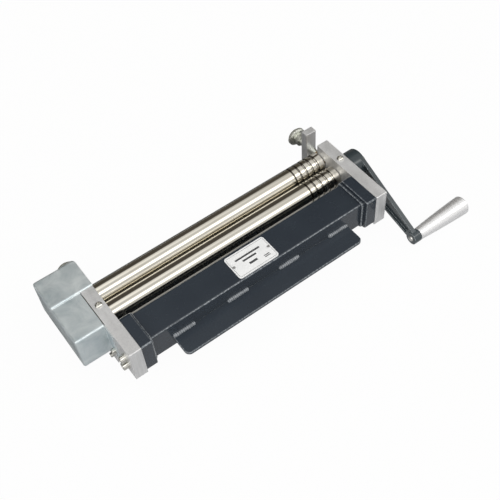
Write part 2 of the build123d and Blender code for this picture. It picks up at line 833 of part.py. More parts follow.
forming_nose = forming_axis_y - half_block - touch_gap
forming_head_rear = foot_front - forming_travel - forming_head_room
forming_head_front = forming_head_rear - forming_head_height
for side in (left, right):
    with BuildPart() as forming_screw:
        with BuildSketch(Plane.XZ.offset(-forming_head_rear)):
            with Locations((side * mid_plate, forming_axis_height)):
                RegularPolygon(forming_head_across / sqrt(3), 6)
        extrude(amount=forming_head_height)
        chamfer(forming_screw.faces().sort_by(Axis.Y)[0].edges(), edge_break)
        with BuildSketch(along_y(side * mid_plate, forming_axis_height)):
            step(forming_head_front + edge_break, forming_nose, adjuster_radius)
        revolve(axis=axis_y(side * mid_plate, forming_axis_height))
    forming_screw.part.label = f"forming_screw_{side_names[side]}"
    export_step(forming_screw.part, f"parts/{forming_screw.part.label}.step")

# ---------------------------------------------------------------- crank

arm_inner = crank_face - arm_thickness
half_keyway = key_size / 2 + seat_gap

with BuildPart() as crank_arm:
    with BuildSketch(section(arm_inner)):
        with Locations(hub_spot):
            Circle(crank_hub_radius)
        with Locations(pivot_spot):
            Circle(arm_end_radius)
        make_hull()
    extrude(amount=arm_thickness)
    with BuildSketch(section(crank_hub_start)):
        with Locations(hub_spot):
            Circle(crank_hub_radius)
    extrude(amount=crank_face - crank_hub_start)
    outer_rim = crank_arm.faces().sort_by(Axis.X)[-1].edges()
    hub_rim = crank_arm.faces().sort_by(Axis.X)[0].edges()
    fillet([*outer_rim, *hub_rim], crank_edge_round)
    with BuildSketch(section(boss_start)):
        with Locations(pivot_spot):
            Circle(boss_radius)
    extrude(amount=boss_length)
    fillet(crank_arm.faces().sort_by(Axis.X)[-1].edges(), boss_round)
    with BuildSketch(section(arm_inner)) as pocket:
        with Locations(hub_spot):
            Circle(crank_hub_radius - arm_rim)
        with Locations(pivot_spot):
            Circle(arm_end_radius - arm_rim)
        make_hull()
        with Locations(hub_spot):
            Circle(crank_hub_radius, mode=Mode.SUBTRACT)
        with Locations(pivot_spot):
            Circle(boss_radius + arm_rim, mode=Mode.SUBTRACT)
        fillet(pocket.vertices(), edge_break)
    extrude(amount=arm_pocket_depth, mode=Mode.SUBTRACT)
    with BuildSketch(section(crank_hub_start)):
        with Locations(hub_spot):
            Circle(shaft_radius + seat_gap)
            patch((-half_keyway, 0), (half_keyway, shaft_radius + half_keyway))
    extrude(amount=crank_face - crank_hub_start, mode=Mode.SUBTRACT)
    with BuildSketch(section(boss_start)):
        with Locations(pivot_spot):
            Circle(spindle_tail_radius + seat_gap)
    extrude(amount=boss_length, mode=Mode.SUBTRACT)
crank_arm.part.label = "crank_arm"
export_step(crank_arm.part, "parts/crank_arm.step")

with BuildPart() as crank_key:
    block(*key_corners(crank_key_start, front_axis_y, right))
crank_key.part.label = "crank_key"
export_step(crank_key.part, "parts/crank_key.step")

spacer_shape = washer(crank_spacer_radius, front_journal_radius + seat_gap, crank_hub_start - washer_start)
with BuildPart() as crank_spacer:
    with Locations((washer_start, *hub_spot)):
        add(spacer_shape)
crank_spacer.part.label = "crank_spacer"
export_step(crank_spacer.part, "parts/crank_spacer.step")

end_washer_shape = washer(crank_washer_radius, end_screw_radius + seat_gap, crank_washer_thickness)
with BuildPart() as crank_washer:
    with Locations((crank_face, *hub_spot)):
        add(end_washer_shape)
crank_washer.part.label = "crank_washer"
export_step(crank_washer.part, "parts/crank_washer.step")

end_screw_shape = cap_screw(
    end_screw_radius, end_screw_length, end_screw_head_radius, end_screw_head_height
)
with BuildPart() as crank_end_screw:
    with Locations(Location((crank_face + crank_washer_thickness, *hub_spot), (0, 90, 0))):
        add(end_screw_shape)
crank_end_screw.part.label = "crank_end_screw"
export_step(crank_end_screw.part, "parts/crank_end_screw.step")

# ---------------------------------------------------------------- handle

grip_swell = ((grip_start + grip_end) / 2, (grip_base_radius + grip_end_radius) / 2 + grip_bulge)
with BuildPart() as handle_grip:
    with BuildSketch(along_x(*pivot_spot)) as grip_profile:
        with BuildLine():
            ThreePointArc((grip_start, grip_base_radius), grip_swell, (grip_end, grip_end_radius))
            Polyline((grip_end, grip_end_radius), (grip_end, 0), (grip_start, 0), (grip_start, grip_base_radius))
        make_face()
        fillet(grip_profile.vertices().sort_by_distance((grip_end, grip_end_radius))[0], grip_round)
        fillet(grip_profile.vertices().sort_by_distance((grip_start, grip_base_radius))[0], edge_break)
        patch((grip_start, 0), (grip_end, spindle_radius + running_gap), Mode.SUBTRACT)
        patch(
            (spindle_head_start - side_gap, 0), (grip_end, spindle_head_radius + side_gap), Mode.SUBTRACT
        )
    revolve(axis=axis_x(*pivot_spot))
handle_grip.part.label = "handle_grip"
export_step(handle_grip.part, "parts/handle_grip.step")

dome_start = boss_start - spindle_dome_height
dome_shoulder = (boss_start - spindle_dome_height * 0.6, spindle_dome_radius * 0.82)
with BuildPart() as handle_spindle:
    with BuildSketch(along_x(*pivot_spot)):
        with BuildLine():
            ThreePointArc((dome_start, 0), dome_shoulder, (boss_start, spindle_dome_radius))
            Polyline(
                (boss_start, spindle_dome_radius),
                (boss_start, spindle_tail_radius),
                (boss_end, spindle_tail_radius),
                (boss_end, spindle_radius),
                (spindle_head_start, spindle_radius),
                (spindle_head_start, spindle_head_radius),
                (grip_end - edge_break, spindle_head_radius),
                (grip_end - edge_break, 0),
                (dome_start, 0),
            )
        make_face()
    revolve(axis=axis_x(*pivot_spot))
handle_spindle.part.label = "handle_spindle"
export_step(handle_spindle.part, "parts/handle_spindle.step")

# ---------------------------------------------------------------- gear cover


def cover_box(side, front, rear, top, inset):
    """Bent-up box of the cover up to X = side, or with an inset the space inside it."""
    with BuildPart() as shell:
        block(
            (cover_left + inset, front + inset, cover_bottom - inset),
            (side + inset, rear - inset, top - inset),
        )
        upright = shell.edges().filter_by(Axis.Z).group_by(Axis.X)[0]
        rims = shell.faces().sort_by(Axis.Z)[-1].edges().sort_by(Axis.X)[:-1]
        fillet([*upright, *rims], cover_bend - inset)
    return shell.part


front_part_rear = cover_step_y + 2 * cover_bend
front_side = -outer_face - cover_side_gap
front_shell = cover_box(front_side, cover_front, front_part_rear + cover_sheet, cover_front_top, 0)
front_space = cover_box(front_side, cover_front, front_part_rear, cover_front_top, cover_sheet)
rear_shell = cover_box(-outer_face, cover_step_y, cover_rear, cover_rear_top, 0)
rear_space = cover_box(-outer_face, cover_step_y, cover_rear, cover_rear_top, cover_sheet)

# The lap is one sheet over the top of the plate, bent down behind it into a lip.
lap_start = -outer_face - cover_sheet
lap_end = cover_lap_inset - inner_face
lap_rear = cover_rear + cover_lap_extra
lip_bottom = cover_rear_top - cover_lip_height
lap_corner_middle = (lap_end - cover_lap_corner, lap_rear - cover_lap_corner)
with BuildPart() as cover_lap:
    with BuildSketch(section(lap_start)) as lap_side:
        patch((cover_step_y + cover_bend, lip_bottom), (lap_rear, cover_rear_top))
        fillet(lap_side.vertices().group_by(Axis.Y)[-1].sort_by(Axis.X)[-1], cover_lap_bend)
    extrude(amount=lap_end - lap_start)
    with BuildSketch(section(lap_start)) as lap_inside:
        patch((cover_step_y, 0), (lap_rear - cover_sheet, cover_rear_top - cover_sheet))
        fillet(lap_inside.vertices().group_by(Axis.Y)[-1].sort_by(Axis.X)[-1], cover_lap_bend - cover_sheet)
    extrude(amount=lap_end - lap_start, mode=Mode.SUBTRACT)
    with BuildSketch(section(lap_start)):
        patch((cover_step_y, plate_top - cover_bend), (cover_step_y + cover_bend, cover_rear_top))
    extrude(amount=lap_end - lap_start)
    lap_front_edge = cover_lap.edges().filter_by(Axis.X).group_by(Axis.Z)[-1].sort_by(Axis.Y)[0]
    fillet(lap_front_edge, cover_bend)
    with BuildSketch(section(lap_start)):
        patch((cover_step_y, 0), (cover_step_y + 2 * cover_bend, plate_top + seat_gap))
    extrude(amount=lap_end - lap_start, mode=Mode.SUBTRACT)
    with BuildSketch(Plane.XY.offset(lip_bottom)):
        patch(lap_corner_middle, (lap_end, lap_rear))
        with Locations(lap_corner_middle):
            Circle(cover_lap_corner, mode=Mode.SUBTRACT)
    extrude(amount=cover_lip_height, mode=Mode.SUBTRACT)

with BuildPart() as gear_cover:
    add(front_shell)
    add(rear_shell)
    add(front_space + rear_space, mode=Mode.SUBTRACT)
    add(cover_lap.part)
    block(
        (lap_start, cover_front - cover_tab_width, cover_bottom + cover_tab_inset),
        (-outer_face, cover_front + cover_sheet, cover_front_top - cover_tab_inset),
    )
    with BuildSketch(section(lap_start)):
        with Locations(cover_screw_spot):
            Circle(cover_screw_radius + seat_gap)
    extrude(amount=cover_sheet, mode=Mode.SUBTRACT)
gear_cover.part.label = "gear_cover"
export_step(gear_cover.part, "parts/gear_cover.step")

cover_screw_shape = cap_screw(
    cover_screw_radius, cover_screw_length, cover_screw_head_radius, cover_screw_head_height
)
with BuildPart() as cover_screw:
    with Locations(Location((lap_start, *cover_screw_spot), (0, -90, 0))):
        add(cover_screw_shape)
cover_screw.part.label = "cover_screw"
export_step(cover_screw.part, "parts/cover_screw.step")
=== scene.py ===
import json
import math

import bmesh
import bpy
from mathutils import Matrix, Vector, noise


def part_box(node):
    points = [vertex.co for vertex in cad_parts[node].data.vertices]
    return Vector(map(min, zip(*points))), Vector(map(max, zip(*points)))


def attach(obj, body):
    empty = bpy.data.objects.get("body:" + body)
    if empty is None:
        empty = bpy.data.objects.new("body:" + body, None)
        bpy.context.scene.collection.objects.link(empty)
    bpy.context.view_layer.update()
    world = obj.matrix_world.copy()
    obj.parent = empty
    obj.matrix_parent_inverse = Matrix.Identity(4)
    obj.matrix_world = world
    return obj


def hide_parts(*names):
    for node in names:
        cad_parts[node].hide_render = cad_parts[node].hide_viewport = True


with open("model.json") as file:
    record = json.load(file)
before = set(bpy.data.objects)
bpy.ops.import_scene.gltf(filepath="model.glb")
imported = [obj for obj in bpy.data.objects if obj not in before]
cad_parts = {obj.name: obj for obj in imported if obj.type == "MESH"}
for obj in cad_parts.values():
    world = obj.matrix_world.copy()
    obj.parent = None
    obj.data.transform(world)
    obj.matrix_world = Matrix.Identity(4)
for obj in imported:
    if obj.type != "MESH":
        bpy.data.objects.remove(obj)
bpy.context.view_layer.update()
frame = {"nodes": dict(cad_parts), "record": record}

MM = 0.001

# ---------------------------------------------------------------- materials


class Finish:
    """A node material around one Principled shader; uniform values go straight onto its sockets."""

    def __init__(self, name, **uniform):
        self.material = bpy.data.materials.new(name)
        self.material.use_nodes = True
        self.tree = self.material.node_tree
        self.tree.nodes.clear()
        self.shader = self.add("ShaderNodeBsdfPrincipled")
        for socket, value in uniform.items():
            self.shader.inputs[socket.replace("_", " ")].default_value = value
        output = self.add("ShaderNodeOutputMaterial")
        self.join(self.shader.outputs["BSDF"], output.inputs["Surface"])
        self.place = self.add("ShaderNodeTexCoord").outputs["Object"]
        self.normal = None

    def add(self, kind, **settings):
        node = self.tree.nodes.new(kind)
        for key, value in settings.items():
            setattr(node, key, value)
        return node

    def join(self, source, target):
        self.tree.links.new(source, target)

    def noise(self, scale, detail=3.0, roughness=0.55, stretch=(1, 1, 1), distortion=0.0):
        mapping = self.add("ShaderNodeMapping")
        mapping.inputs["Scale"].default_value = stretch
        self.join(self.place, mapping.inputs["Vector"])
        texture = self.add("ShaderNodeTexNoise")
        texture.inputs["Scale"].default_value = scale
        texture.inputs["Detail"].default_value = detail
        texture.inputs["Roughness"].default_value = roughness
        texture.inputs["Distortion"].default_value = distortion
        self.join(mapping.outputs["Vector"], texture.inputs["Vector"])
        return texture.outputs["Fac"]

    def spread(self, source, low, high, start=0.3, end=0.7):
        node = self.add("ShaderNodeMapRange")
        node.inputs["From Min"].default_value = start
        node.inputs["From Max"].default_value = end
        node.inputs["To Min"].default_value = low
        node.inputs["To Max"].default_value = high
        self.join(source, node.inputs["Value"])
        return node.outputs["Result"]

    def math(self, operation, a, b):
        node = self.add("ShaderNodeMath", operation=operation)
        for value, socket in ((a, node.inputs[0]), (b, node.inputs[1])):
            if isinstance(value, float):
                socket.default_value = value
            else:
                self.join(value, socket)
        return node.outputs["Value"]

    def tint(self, factor, first, second):
        """Colour that runs from first to second with the factor; either may be a socket."""
        node = self.add("ShaderNodeMix", data_type="RGBA")
        self.join(factor, node.inputs["Factor"])
        for value, socket in ((first, node.inputs[6]), (second, node.inputs[7])):
            if isinstance(value, tuple):
                socket.default_value = (*value, 1)
            else:
                self.join(value, socket)
        return node.outputs[2]

    def rounded(self, radius):
        """Edges shade as if they were broken by this radius; returns a mask of those edges."""
        bevel = self.add("ShaderNodeBevel", samples=6)
        bevel.inputs["Radius"].default_value = radius
        geometry = self.add("ShaderNodeNewGeometry")
        dot = self.add("ShaderNodeVectorMath", operation="DOT_PRODUCT")
        self.join(bevel.outputs["Normal"], dot.inputs[0])
        self.join(geometry.outputs["Normal"], dot.inputs[1])
        self.normal = bevel.outputs["Normal"]
        self.join(self.normal, self.shader.inputs["Normal"])
        return self.spread(dot.outputs["Value"], 1.0, 0.0, 0.80, 0.985)

    def off_axis(self, start, end):
        """Mask of the rounded corners of a boxy piece: 0 where the normal lies along an axis."""
        turned = self.add("ShaderNodeVectorMath", operation="ABSOLUTE")
        self.join(self.normal, turned.inputs[0])
        split = self.add("ShaderNodeSeparateXYZ")
        self.join(turned.outputs["Vector"], split.inputs[0])
        most = self.math("MAXIMUM", split.outputs["X"], split.outputs["Y"])
        most = self.math("MAXIMUM", most, split.outputs["Z"])
        return self.spread(self.math("SUBTRACT", 1.0, most), 0.0, 1.0, start, end)

    def relief(self, height, distance):
        bump = self.add("ShaderNodeBump")
        bump.inputs["Distance"].default_value = distance
        bump.inputs["Strength"].default_value = 1.0
        self.join(height, bump.inputs["Height"])
        if self.normal:
            self.join(self.normal, bump.inputs["Normal"])
        self.normal = bump.outputs["Normal"]
        self.join(self.normal, self.shader.inputs["Normal"])

    def colour(self, source):
        self.join(source, self.shader.inputs["Base Color"])

    def roughness(self, source):
        self.join(source, self.shader.inputs["Roughness"])


def paint(name, deep, pale, worn, edge_radius, grain_scale, grain_height, gloss, boxy=False):
    """Glossy dark paint: slow colour drift, dust specks, orange peel, and a pale colour on its edges that
    is partly thin paint and partly a painted highlight.
    """
    finish = Finish(name, Coat_Weight=0.75, Coat_Roughness=0.07, IOR=1.5, Specular_IOR_Level=0.2)
    edge = finish.rounded(edge_radius)
    # Boxy pieces also take the pale edge colour on their rounded long corners, as a painted highlight.
    if boxy:
        edge = finish.math("MAXIMUM", edge, finish.off_axis(0.04, 0.22))
    drift = finish.noise(14, 4)
    base = finish.tint(finish.spread(drift, 0, 1), deep, pale)
    patchy = finish.spread(finish.noise(420, 4, 0.7), 0.15, 1.0, 0.42, 0.62)
    # Edges and corners take the pale colour: partly worn paint, partly a painted highlight.
    chips_and_highlight = finish.math("MULTIPLY", edge, patchy)
    finish.colour(finish.tint(chips_and_highlight, base, worn))
    rub = finish.noise(60, 5, 0.65)
    finish.roughness(finish.spread(rub, gloss - 0.07, gloss + 0.11))
    finish.relief(finish.noise(grain_scale, 2, 0.5), grain_height)
    finish.relief(finish.noise(35, 2), 0.00006)
    return finish.material


def weld_paint():
    """Thin paint over a weld bead, pale along its crest and on its ripples: partly rubbed paint, partly a
    painted highlight.
    """
    finish = Finish("weld_paint", Coat_Weight=0.5, Coat_Roughness=0.12, IOR=1.5)
    geometry = finish.add("ShaderNodeNewGeometry")
    crest = finish.spread(geometry.outputs["Pointiness"], 0.0, 1.0, 0.50, 0.56)
    patchy = finish.spread(finish.noise(260, 4, 0.7), 0.3, 1.0, 0.4, 0.6)
    # The crest's pale colour is partly rubbed paint and partly a painted highlight.
    crest_rub_and_highlight = finish.math("MULTIPLY", crest, patchy)
    finish.colour(finish.tint(crest_rub_and_highlight, (0.10, 0.11, 0.125), (0.40, 0.43, 0.46)))
    finish.roughness(finish.spread(finish.noise(300, 4), 0.22, 0.40))
    finish.relief(finish.noise(500, 3), 0.00005)
    return finish.material


def worked_metal(
    name, deep, pale, bright, edge_radius, stretch, scale, line_height, smooth, rough, **uniform
):
    """Metal with tool marks that run along the axis whose stretch is small, and bright edges that are a
    painted highlight.
    """
    finish = Finish(name, **{"Metallic": 1.0, **uniform})
    edge = finish.rounded(edge_radius)
    marks = finish.noise(scale, 5, 0.7, stretch)
    cloud = finish.noise(26, 4, 0.6)
    base = finish.tint(finish.spread(cloud, 0, 1), deep, pale)
    toned = finish.tint(finish.spread(marks, 0.0, 0.5), base, bright)
    # Edges take the bright colour: a painted highlight along them.
    finish.colour(finish.tint(edge, toned, bright))
    rub = finish.math("ADD", finish.spread(marks, smooth, rough), finish.spread(cloud, -0.03, 0.05))
    finish.roughness(rub)
    finish.relief(marks, line_height)
    return finish.material


def plated(name, deep, pale, bright, edge_radius, smooth, rough, pit_height):
    """Plated metal: even, with a faint mottle, fine pits and bright edges that are a painted highlight."""
    finish = Finish(name, Metallic=1.0)
    edge = finish.rounded(edge_radius)
    cloud = finish.noise(90, 4, 0.6)
    base = finish.tint(finish.spread(cloud, 0, 1), deep, pale)
    # The bright edge colour is a painted highlight.
    finish.colour(finish.tint(edge, base, bright))
    finish.roughness(finish.spread(finish.noise(240, 4, 0.65), smooth, rough))
    finish.relief(finish.noise(900, 2), pit_height)
    return finish.material


roll_radius = 12.7 * MM
groove_zone = (102 * MM, 146 * MM)  # where along the rolls their wire grooves are
# The grooves' flanks are painted dark as shade, and their floors stay bright.
groove_mouth = (0.06 * MM, 0.28 * MM)  # over this depth a groove's flank turns dark
groove_floor = (0.85 * MM, 1.35 * MM)  # and over this depth it turns bright again
front_axis = (4.4 * MM, 50.5 * MM)  # Y and Z
rear_axis = (32.4 * MM, 50.5 * MM)
forming_axis = (5 * MM, 20.5 * MM)


def roll_finish(name, axis):
    """Polished nickel-toned roll: fine turned rings, faint rubbed stripes, painted shade on the groove
    flanks, and a painted highlight on its edges.
    """
    finish = Finish(name, Metallic=1.0, Anisotropic=0.2)
    edge = finish.rounded(0.0002)
    middle = finish.add("ShaderNodeVectorMath", operation="SUBTRACT")
    finish.join(finish.place, middle.inputs[0])
    middle.inputs[1].default_value = (0, *axis)
    across = finish.add("ShaderNodeVectorMath", operation="MULTIPLY")
    finish.join(middle.outputs["Vector"], across.inputs[0])
    across.inputs[1].default_value = (0, 1, 1)
    reach = finish.add("ShaderNodeVectorMath", operation="LENGTH")
    finish.join(across.outputs["Vector"], reach.inputs[0])
    depth = finish.math("SUBTRACT", roll_radius, reach.outputs["Value"])
    flank = finish.math(
        "MULTIPLY", finish.spread(depth, 0.0, 1.0, *groove_mouth),
        finish.spread(depth, 1.0, 0.15, *groove_floor),
    )
    split = finish.add("ShaderNodeSeparateXYZ")
    finish.join(finish.place, split.inputs[0])
    start, end = groove_zone
    inside = finish.math(
        "MULTIPLY", finish.spread(split.outputs["X"], 0.0, 1.0, start, start + MM),
        finish.spread(split.outputs["X"], 1.0, 0.0, end, end + MM),
    )
    # Painted shade in the grooves: the flanks darken towards a near-black brown.
    groove_shade = finish.math("MULTIPLY", flank, inside)
    rings = finish.noise(900, 3, 0.6, (1, 0.02, 0.02))
    stripes = finish.noise(260, 3, 0.6, (0.012, 1, 1))
    stain = finish.noise(30, 5, 0.6, (0.5, 1, 1), 0.4)
    base = finish.tint(finish.spread(stain, 0, 1), (0.70, 0.665, 0.585), (0.77, 0.745, 0.68))
    # Edges take a paler colour, a painted highlight.
    bright = finish.tint(edge, base, (0.88, 0.86, 0.80))
    finish.colour(finish.tint(groove_shade, bright, (0.06, 0.05, 0.036)))
    rub = finish.math("ADD", finish.spread(stripes, 0.085, 0.145), finish.spread(stain, -0.01, 0.025))
    finish.roughness(rub)
    finish.relief(rings, 0.000002)
    finish.relief(stripes, 0.000002)
    return finish.material


def zinc_finish():
    """Zinc-plated sheet: cloudy blue-green passivation, faint crystals, and near-white bends and edges
    that are a painted highlight.
    """
    finish = Finish("zinc_sheet", Metallic=0.74)
    edge = finish.rounded(0.0008)
    cloud = finish.noise(38, 6, 0.62, (1, 1, 1), 0.8)
    base = finish.tint(finish.spread(cloud, 0, 1, 0.34, 0.66), (0.50, 0.585, 0.62), (0.80, 0.86, 0.875))
    cells = finish.add("ShaderNodeTexVoronoi")
    cells.inputs["Scale"].default_value = 210
    finish.join(finish.place, cells.inputs["Vector"])
    spangle = finish.spread(cells.outputs["Distance"], 0.0, 0.35, 0.1, 0.8)
    flecked = finish.tint(spangle, base, (0.70, 0.75, 0.78))
    # Edges and bends turn near-white: a painted highlight.
    finish.colour(finish.tint(edge, flecked, (0.97, 0.98, 0.97)))
    streaks = finish.noise(160, 4, 0.6, (1, 1, 0.12))
    rub = finish.math("ADD", finish.spread(cloud, 0.30, 0.44), finish.spread(streaks, -0.04, 0.06))
    finish.roughness(rub)
    finish.relief(finish.noise(24, 3), 0.00035)
    finish.relief(streaks, 0.000012)
    return finish.material


def label_finish():
    """White coated plate with handling marks."""
    finish = Finish("label", IOR=1.48, Coat_Weight=0.2, Coat_Roughness=0.2)
    edge = finish.rounded(0.0002)
    smear = finish.noise(70, 5, 0.6)
    base = finish.tint(finish.spread(smear, 0, 1), (0.78, 0.79, 0.80), (0.88, 0.89, 0.90))
    finish.colour(finish.tint(edge, base, (0.6, 0.61, 0.62)))
    finish.roughness(finish.spread(finish.noise(160, 4), 0.28, 0.45))
    finish.relief(finish.noise(500, 2), 0.00001)
    return finish.material


def ink_finish():
    """Matt dark print."""
    finish = Finish("ink")
    patchy = finish.noise(900, 3, 0.6)
    finish.colour(finish.tint(finish.spread(patchy, 0, 1), (0.035, 0.036, 0.04), (0.075, 0.077, 0.082)))
    finish.roughness(finish.spread(patchy, 0.4, 0.6))
    return finish.material


paints = {
    "body_paint": dict(
        deep=(0.014, 0.021, 0.032), pale=(0.021, 0.030, 0.042), worn=(0.30, 0.325, 0.35),
        edge_radius=0.0011, grain_scale=620, grain_height=0.000006, gloss=0.22, boxy=True,
    ),
    "crank_paint": dict(
        deep=(0.024, 0.034, 0.040), pale=(0.044, 0.057, 0.064), worn=(0.42, 0.47, 0.49),
        edge_radius=0.0014, grain_scale=360, grain_height=0.00004, gloss=0.17,
    ),
}
worked_metals = {
    "ground_steel": dict(
        deep=(0.60, 0.61, 0.62), pale=(0.76, 0.765, 0.78), bright=(0.97, 0.97, 0.97),
        edge_radius=0.0009, stretch=(1, 1, 0.03), scale=700, line_height=0.00001,
        smooth=0.36, rough=0.50, Metallic=0.74, Anisotropic=0.3,
    ),
    "tie_steel": dict(
        deep=(0.40, 0.40, 0.41), pale=(0.52, 0.52, 0.52), bright=(0.7, 0.7, 0.7),
        edge_radius=0.0005, stretch=(0.02, 1, 1), scale=800, line_height=0.000012,
        smooth=0.34, rough=0.52,
    ),
    "gear_steel": dict(
        deep=(0.36, 0.36, 0.37), pale=(0.48, 0.48, 0.48), bright=(0.72, 0.72, 0.72),
        edge_radius=0.0003, stretch=(1, 0.05, 0.05), scale=1500, line_height=0.00001,
        smooth=0.26, rough=0.42,
    ),
    "bronze": dict(
        deep=(0.52, 0.37, 0.19), pale=(0.64, 0.47, 0.26), bright=(0.8, 0.64, 0.4),
        edge_radius=0.0003, stretch=(1, 0.05, 0.05), scale=1500, line_height=0.00001,
        smooth=0.22, rough=0.36,
    ),
    "handle_aluminium": dict(
        deep=(0.77, 0.775, 0.79), pale=(0.86, 0.865, 0.88), bright=(0.96, 0.96, 0.97),
        edge_radius=0.0005, stretch=(1, 0.03, 0.03), scale=1300, line_height=0.000012,
        smooth=0.30, rough=0.42, Metallic=0.7, Anisotropic=0.35,
    ),
}
platings = {
    "rivet": dict(
        deep=(0.62, 0.63, 0.64), pale=(0.74, 0.75, 0.76), bright=(0.9, 0.9, 0.9),
        edge_radius=0.0002, smooth=0.22, rough=0.36, pit_height=0.00001,
    ),
    "spring_steel": dict(
        deep=(0.13, 0.13, 0.135), pale=(0.2, 0.2, 0.2), bright=(0.42, 0.42, 0.42),
        edge_radius=0.0002, smooth=0.3, rough=0.45, pit_height=0.00001,
    ),
    "screw": dict(
        deep=(0.60, 0.59, 0.55), pale=(0.74, 0.73, 0.68), bright=(0.94, 0.93, 0.89),
        edge_radius=0.00045, smooth=0.13, rough=0.24, pit_height=0.00001,
    ),
    "knob_nickel": dict(
        deep=(0.60, 0.615, 0.56), pale=(0.69, 0.70, 0.645), bright=(0.90, 0.91, 0.86),
        edge_radius=0.0006, smooth=0.33, rough=0.42, pit_height=0.000004,
    ),
    "spindle_steel": dict(
        deep=(0.56, 0.56, 0.54), pale=(0.68, 0.68, 0.66), bright=(0.88, 0.88, 0.87),
        edge_radius=0.0004, smooth=0.14, rough=0.26, pit_height=0.00001,
    ),
}
finishes = {
    "label": label_finish(),
    "zinc_sheet": zinc_finish(),
    "roll_nickel": roll_finish("roll_nickel", front_axis),
}
for make, looks in ((paint, paints), (worked_metal, worked_metals), (plated, platings)):
    for slot, look in looks.items():
        finishes[slot] = make(slot, **look)
ink = ink_finish()
weld = weld_paint()
roll_finishes = {
    "front_roll": finishes["roll_nickel"],
    "rear_roll": roll_finish("rear_roll_nickel", rear_axis),
    "forming_roll": roll_finish("forming_roll_nickel", forming_axis),
}

slot_of = {part["node"]: part["material_slot"] for part in frame["record"]["subparts"]}
for name, node in frame["nodes"].items():
    finish = roll_finishes.get(name, finishes[slot_of[name]])
    for index in range(len(node.data.materials)):
        node.data.materials[index] = finish

# ---------------------------------------------------------------- pieces that carry fine form


def new_piece(name, mesh, material, body, smooth=True):
    """Closed mesh as a piece that rides on a body."""
    bmesh.ops.recalc_face_normals(mesh, faces=mesh.faces[:])
    data = bpy.data.meshes.new(name)
    mesh.to_mesh(data)
    mesh.free()
    data.polygons.foreach_set("use_smooth", [smooth] * len(data.polygons))
    data.materials.append(material)
    piece = bpy.data.objects.new(name, data)
    bpy.context.scene.collection.objects.link(piece)
    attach(piece, body)
    return piece


def skin(mesh, rows, ring):
    """Quads between rows of points; each row is a closed loop, and with ring the rows close too."""
    loops = [[mesh.verts.new(point) for point in row] for row in rows]
    pairs = list(zip(loops, loops[1:]))
    if ring:
        pairs.append((loops[-1], loops[0]))
    for first, second in pairs:
        for index in range(len(first)):
            after = (index + 1) % len(first)
            mesh.faces.new((first[index], first[after], second[after], second[index]))
    if not ring:
        mesh.faces.new(loops[0][::-1])
        mesh.faces.new(loops[-1])


bead_pitch = 2.3 * MM  # one weld ripple
bead_ripple = 0.16  # how far the dips between ripples go in, as a share of the bead
bead_drift = 0.10  # how much the bead's size wanders
bead_drift_scale = 160  # and how fast along its length
bead_flat = 0.86  # its cross-section is a flattened quarter circle
bead_hump = 0.10
bead_root = 0.3 * MM  # its cross-section starts this deep in the corner
bead_arc_steps = 8


def bead_scale(along):
    """Height of a hand-laid weld bead: scalloped ripples, slightly uneven."""
    phase = (along / bead_pitch) % 1.0
    scallop = math.sqrt(max(0.0, 1 - (2 * phase - 1) ** 2))
    drift = noise.noise(Vector((along * bead_drift_scale, 0.37, 0.11)))
    return 1 - bead_ripple * (1 - scallop) + bead_drift * drift


def bead_row(corner, first, second, size, along):
    """Cross-section of a bead in the corner between two surfaces that run off along first and second."""
    reach = size * bead_scale(along)
    points = [corner - (first + second) * bead_root]
    for step in range(bead_arc_steps + 1):
        turn = math.radians(90 * step / bead_arc_steps)
        hump = bead_flat + bead_hump * math.sin(2 * turn)
        points.append(corner + (first * math.cos(turn) + second * math.sin(turn)) * reach * hump)
    return points


shelf_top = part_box("clamp_shelf")[1].z
beam_low, beam_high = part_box("base_beam")
weld_low, weld_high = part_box("shelf_welds")
weld_size = weld_high.z - shelf_top
weld_length = 27 * MM
weld_count = 4
weld_steps = 100
weld_gap = (weld_high.x - weld_low.x - weld_length) / (weld_count - 1)

shelf_bead = bmesh.new()
for index in range(weld_count):
    start = weld_low.x + index * weld_gap
    rows = []
    for step in range(weld_steps + 1):
        share = step / weld_steps
        taper = min(1.0, math.sqrt(max(0.0, 1 - abs(2 * share - 1) ** 14)) + 0.06)
        x = start + weld_length * share
        corner = Vector((x, beam_low.y, shelf_top))
        rows.append(bead_row(corner, Vector((0, -1, 0)), Vector((0, 0, 1)), weld_size * taper, x))
    skin(shelf_bead, rows, False)
shelf_weld_beads = new_piece("shelf_weld_beads", shelf_bead, weld, "base")
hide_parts("shelf_welds")

flange_weld_size = 3.2 * MM
beam_corner = 3.0 * MM
corner_steps = 8
outline_step = 0.35 * MM


def outline(low, high, radius):
    """Points and outward normals round a rounded rectangle in Y and Z."""
    found = []
    corners = (
        (high.y - radius, high.z - radius, 0), (low.y + radius, high.z - radius, 90),
        (low.y + radius, low.z + radius, 180), (high.y - radius, low.z + radius, 270),
    )
    for y, z, start in corners:
        for step in range(corner_steps + 1):
            turn = math.radians(start + 90 * step / corner_steps)
            normal = Vector((0, math.cos(turn), math.sin(turn)))
            found.append((Vector((0, y, z)) + normal * radius, normal))
    dense = []
    for (point, normal), (after, next_normal) in zip(found, found[1:] + found[:1]):
        count = max(1, round((after - point).length / outline_step))
        for step in range(count):
            share = step / count
            dense.append((point.lerp(after, share), normal.lerp(next_normal, share).normalized()))
    return dense


flange_bead = bmesh.new()
for side in (-1, 1):
    rows = []
    along = 0.0
    last = None
    for point, normal in outline(beam_low, beam_high, beam_corner):
        along += (point - last).length if last else 0.0
        last = point
        corner = Vector((side * beam_high.x, point.y, point.z))
        rows.append(bead_row(corner, normal, Vector((-side, 0, 0)), flange_weld_size, along))
    skin(flange_bead, rows, True)
flange_weld_beads = new_piece(
    "flange_weld_beads", flange_bead, finishes["body_paint"], "base"
)
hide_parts("flange_welds")

